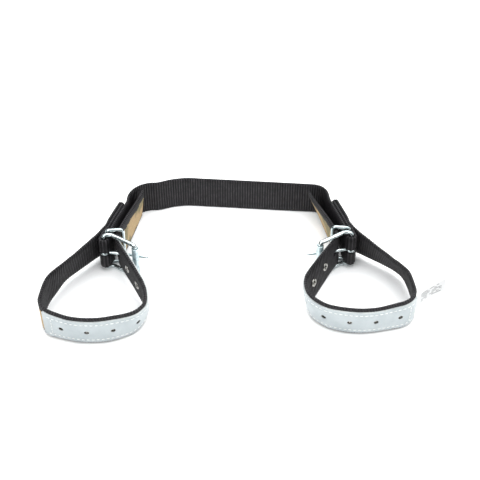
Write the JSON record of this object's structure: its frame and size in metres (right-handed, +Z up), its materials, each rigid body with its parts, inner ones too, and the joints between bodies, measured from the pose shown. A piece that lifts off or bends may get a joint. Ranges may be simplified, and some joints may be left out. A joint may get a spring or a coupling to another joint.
{
  "type": "webbing leg strap with buckled cuffs",
  "caption": "Flat webbing band joining leather-faced ankle cuffs, each closed by a roller buckle with a prong and a wire keeper loop.",
  "frame": {"origin": "middle of the footprint on the surface the strap stands on", "axes": "+Z up along the webbing's width, +X from the left cuff to the right cuff, +Y towards the centre band"},
  "size_m": [0.4108, 0.2212, 0.048],
  "materials": {
    "webbing": "ribbed black polyester webbing with a tan patterned back",
    "leather": "coated smooth, cool white",
    "white_thread": "twisted white polyester thread",
    "black_thread": "twisted black polyester thread",
    "eyelet_metal": "nickel plated",
    "plated_steel": "bright zinc plated round wire",
    "roller_steel": "bright zinc plated tube",
    "satin_label": "white woven satin"
  },
  "bodies": {
    "centre": {"centre_strap": "webbing"},
    "left_cuff": {"left_cuff_strap": "webbing", "left_leather_strip": "leather", "left_eyelets": "eyelet_metal", "left_leather_stitching": "white_thread", "left_stack_stitching": "black_thread"},
    "left_frame": {"left_buckle_frame": "plated_steel"},
    "left_roller": {"left_buckle_roller": "roller_steel"},
    "left_prong": {"left_buckle_prong": "plated_steel"},
    "left_keeper": {"left_keeper_loop": "plated_steel"},
    "right_cuff": {"right_cuff_strap": "webbing", "right_leather_strip": "leather", "right_eyelets": "eyelet_metal", "right_leather_stitching": "white_thread", "right_stack_stitching": "black_thread"},
    "right_frame": {"right_buckle_frame": "plated_steel"},
    "right_roller": {"right_buckle_roller": "roller_steel"},
    "right_prong": {"right_buckle_prong": "plated_steel"},
    "right_keeper": {"right_keeper_loop": "plated_steel"},
    "label": {"right_care_label": "satin_label"}
  },
  "joints": [
    {"name": "left_cuff_flex", "type": "hinge", "parent": "centre", "child": "left_cuff", "pos_m": [-0.09576, 0.10095, 0.019], "axis": [0, 0, 1], "range_deg": [-14, 25]},
    {"name": "left_frame_swing", "type": "hinge", "parent": "left_cuff", "child": "left_frame", "pos_m": [-0.14676, 0.00315, 0.024], "axis": [0, 0, 1], "range_deg": [-3, 0]},
    {"name": "left_roller_spin", "type": "hinge", "parent": "left_frame", "child": "left_roller", "pos_m": [-0.11296, -0.0119, 0.024], "axis": [0, 0, 1], "continuous": true},
    {"name": "left_prong_lift", "type": "hinge", "parent": "left_cuff", "child": "left_prong", "pos_m": [-0.14676, 0.00315, 0.024], "axis": [0, 0, 1], "range_deg": [-1.2, 1.2]},
    {"name": "left_keeper_swing", "type": "hinge", "parent": "left_cuff", "child": "left_keeper", "pos_m": [-0.14443, 0.01184, 0.024], "axis": [0, 0, 1], "range_deg": [-8, 1.5]},
    {"name": "right_cuff_flex", "type": "hinge", "parent": "centre", "child": "right_cuff", "pos_m": [0.06224, 0.09925, 0.019], "axis": [0, 0, 1], "range_deg": [-25, 14]},
    {"name": "right_frame_swing", "type": "hinge", "parent": "right_cuff", "child": "right_frame", "pos_m": [0.11274, 0.00765, 0.024], "axis": [0, 0, 1], "range_deg": [0, 3]},
    {"name": "right_roller_spin", "type": "hinge", "parent": "right_frame", "child": "right_roller", "pos_m": [0.07894, -0.0074, 0.024], "axis": [0, 0, 1], "continuous": true},
    {"name": "right_prong_lift", "type": "hinge", "parent": "right_cuff", "child": "right_prong", "pos_m": [0.11274, 0.00765, 0.024], "axis": [0, 0, 1], "range_deg": [-1.2, 1.2]},
    {"name": "right_keeper_swing", "type": "hinge", "parent": "right_cuff", "child": "right_keeper", "pos_m": [0.11041, 0.01634, 0.024], "axis": [0, 0, 1], "range_deg": [-1.5, 8]},
    {"name": "label_flap", "type": "hinge", "parent": "right_cuff", "child": "label", "pos_m": [0.17137, -0.0756, 0.026], "axis": [0, 0, 1], "range_deg": [-25, 30]}
  ]
}
